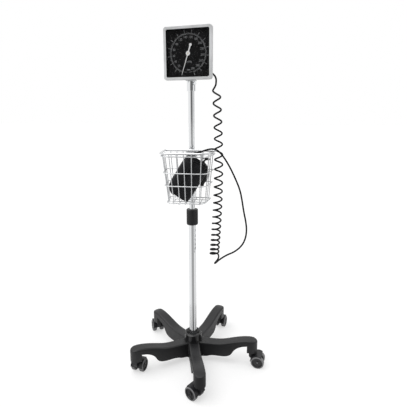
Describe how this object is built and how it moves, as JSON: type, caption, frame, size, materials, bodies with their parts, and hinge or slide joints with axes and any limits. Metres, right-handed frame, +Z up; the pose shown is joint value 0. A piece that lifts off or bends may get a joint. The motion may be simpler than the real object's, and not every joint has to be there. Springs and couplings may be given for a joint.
{
  "type": "mobile aneroid sphygmomanometer",
  "caption": "Square dial blood-pressure gauge on a telescopic pole with a wire basket, rolled cuff, bulb and coiled tube, on a star base with casters.",
  "frame": {"origin": "on the pole's axis at floor level, where the wheels stand", "axes": "+Z up along the pole, the dial faces -Y, +X to the right of the dial"},
  "size_m": [0.5285, 0.5142, 1.2225],
  "materials": {
    "black_plastic": "satin moulded black",
    "gloss_black": "gloss black",
    "hood_black": "satin black",
    "tyre": "soft dark grey tread",
    "chrome": "polished",
    "steel": "plain zinc",
    "collet_plastic": "natural",
    "wire_chrome": "bright plated wire",
    "cuff_fabric": "woven black nylon",
    "bulb_rubber": "matt black",
    "tube_rubber": "black, slightly glossy",
    "case_grey": "light silver grey",
    "lens_clear": "clear",
    "dial_black": "printed matt black",
    "pointer_white": "painted white",
    "brass": "plain"
  },
  "bodies": {
    "base": {"star_base": "black_plastic", "hub_collar": "gloss_black", "caster_stems": "steel", "tube_bolt": "steel", "lower_tube": "chrome", "lock_collet": "collet_plastic"},
    "lock_collar": {"lock_collar": "black_plastic"},
    "mast": {"upper_tube": "chrome", "glide_bush": "collet_plastic", "basket_rings": "wire_chrome", "basket_uprights": "wire_chrome", "basket_floor": "wire_chrome", "basket_clamp": "chrome", "clamp_screws": "steel", "cuff_roll": "cuff_fabric", "tube_connectors": "black_plastic", "bulb": "bulb_rubber", "bulb_valve": "black_plastic", "release_valve": "chrome", "coil_tube": "tube_rubber", "rim_tube": "tube_rubber", "bulb_tube": "tube_rubber"},
    "valve_knob": {"valve_knob": "chrome"},
    "gauge": {"gauge_sleeve": "chrome", "sleeve_nut": "steel", "rear_case": "case_grey", "gauge_bezel": "case_grey", "gauge_lens": "lens_clear", "dial_plate": "dial_black", "movement_plates": "brass", "movement_posts": "brass", "case_screws": "steel", "capsule": "brass", "pressure_port": "steel", "hairspring": "brass", "gauge_tube": "tube_rubber"},
    "set_screw": {"set_screw": "chrome"},
    "sector": {"sector_gear": "brass"},
    "pointer": {"pinion_arbor": "brass", "pointer": "pointer_white"},
    "caster_1": {"caster_housing_1": "hood_black", "caster_axle_1": "steel"},
    "wheel_left_1": {"wheel_left_1": "tyre"},
    "wheel_right_1": {"wheel_right_1": "tyre"},
    "caster_2": {"caster_housing_2": "hood_black", "caster_axle_2": "steel"},
    "wheel_left_2": {"wheel_left_2": "tyre"},
    "wheel_right_2": {"wheel_right_2": "tyre"},
    "caster_3": {"caster_housing_3": "hood_black", "caster_axle_3": "steel"},
    "wheel_left_3": {"wheel_left_3": "tyre"},
    "wheel_right_3": {"wheel_right_3": "tyre"},
    "caster_4": {"caster_housing_4": "hood_black", "caster_axle_4": "steel"},
    "wheel_left_4": {"wheel_left_4": "tyre"},
    "wheel_right_4": {"wheel_right_4": "tyre"},
    "caster_5": {"caster_housing_5": "hood_black", "caster_axle_5": "steel"},
    "wheel_left_5": {"wheel_left_5": "tyre"},
    "wheel_right_5": {"wheel_right_5": "tyre"}
  },
  "joints": [
    {"name": "mast_slide", "type": "slide", "parent": "base", "child": "mast", "axis": [0, 0, 1], "range_m": [-0.03, 0.35]},
    {"name": "lock_twist", "type": "hinge", "parent": "base", "child": "lock_collar", "pos_m": [0, 0, 0.5874], "axis": [0, 0, 1], "range_deg": [0, 180]},
    {"name": "caster_swivel_1", "type": "hinge", "parent": "base", "child": "caster_1", "pos_m": [0.09167, -0.21388, 0.05], "axis": [0, 0, 1], "continuous": true},
    {"name": "wheel_left_spin_1", "type": "hinge", "parent": "caster_1", "child": "wheel_left_1", "pos_m": [0.06901, -0.20332, 0.025], "axis": [-0.4226, -0.9063, 0], "continuous": true},
    {"name": "wheel_right_spin_1", "type": "hinge", "parent": "caster_1", "child": "wheel_right_1", "pos_m": [0.06901, -0.20332, 0.025], "axis": [-0.4226, -0.9063, 0], "continuous": true},
    {"name": "caster_swivel_2", "type": "hinge", "parent": "base", "child": "caster_2", "pos_m": [0.23174, 0.02109, 0.05], "axis": [0, 0, 1], "continuous": true},
    {"name": "wheel_left_spin_2", "type": "hinge", "parent": "caster_2", "child": "wheel_left_2", "pos_m": [0.25674, 0.02109, 0.025], "axis": [0, 1, 0], "continuous": true},
    {"name": "wheel_right_spin_2", "type": "hinge", "parent": "caster_2", "child": "wheel_right_2", "pos_m": [0.25674, 0.02109, 0.025], "axis": [0, 1, 0], "continuous": true},
    {"name": "caster_swivel_3", "type": "hinge", "parent": "base", "child": "caster_3", "pos_m": [0.05155, 0.22692, 0.05], "axis": [0, 0, 1], "continuous": true},
    {"name": "wheel_left_spin_3", "type": "hinge", "parent": "caster_3", "child": "wheel_left_3", "pos_m": [0.05286, 0.25188, 0.025], "axis": [-0.9986, 0.0523, 0], "continuous": true},
    {"name": "wheel_right_spin_3", "type": "hinge", "parent": "caster_3", "child": "wheel_right_3", "pos_m": [0.05286, 0.25188, 0.025], "axis": [-0.9986, 0.0523, 0], "continuous": true},
    {"name": "caster_swivel_4", "type": "hinge", "parent": "base", "child": "caster_4", "pos_m": [-0.19988, 0.11915, 0.05], "axis": [0, 0, 1], "continuous": true},
    {"name": "wheel_left_spin_4", "type": "hinge", "parent": "caster_4", "child": "wheel_left_4", "pos_m": [-0.21422, 0.13963, 0.025], "axis": [-0.8192, -0.5736, 0], "continuous": true},
    {"name": "wheel_right_spin_4", "type": "hinge", "parent": "caster_4", "child": "wheel_right_4", "pos_m": [-0.21422, 0.13963, 0.025], "axis": [-0.8192, -0.5736, 0], "continuous": true},
    {"name": "caster_swivel_5", "type": "hinge", "parent": "base", "child": "caster_5", "pos_m": [-0.17509, -0.15328, 0.05], "axis": [0, 0, 1], "continuous": true},
    {"name": "wheel_left_spin_5", "type": "hinge", "parent": "caster_5", "child": "wheel_left_5", "pos_m": [-0.17421, -0.12829, 0.025], "axis": [-0.9994, 0.0349, 0], "continuous": true},
    {"name": "wheel_right_spin_5", "type": "hinge", "parent": "caster_5", "child": "wheel_right_5", "pos_m": [-0.17421, -0.12829, 0.025], "axis": [-0.9994, 0.0349, 0], "continuous": true},
    {"name": "gauge_swivel", "type": "hinge", "parent": "mast", "child": "gauge", "pos_m": [0, 0, 1.04], "axis": [0, 0, 1], "range_deg": [-20, 20]},
    {"name": "set_screw_turn", "type": "hinge", "parent": "gauge", "child": "set_screw", "pos_m": [0.01149, -0.00964, 1.05], "axis": [0.766, -0.6428, 0], "range_deg": [0, 720]},
    {"name": "sector_turn", "type": "hinge", "parent": "gauge", "child": "sector", "pos_m": [0.0252, -0.0175, 1.1221], "axis": [0, 1, 0], "range_deg": [-40.35, 0]},
    {"name": "pointer_turn", "type": "hinge", "parent": "gauge", "child": "pointer", "pos_m": [0, -0.02, 1.141], "axis": [0, 1, 0], "range_deg": [0, 323]},
    {"name": "knob_turn", "type": "hinge", "parent": "mast", "child": "valve_knob", "pos_m": [0.04901, -0.03977, 0.82], "axis": [0, 0, 1], "range_deg": [0, 540]}
  ],
  "couplings": [
    {"joint": "pointer_turn", "follows": "sector_turn", "ratio": -8}
  ]
}
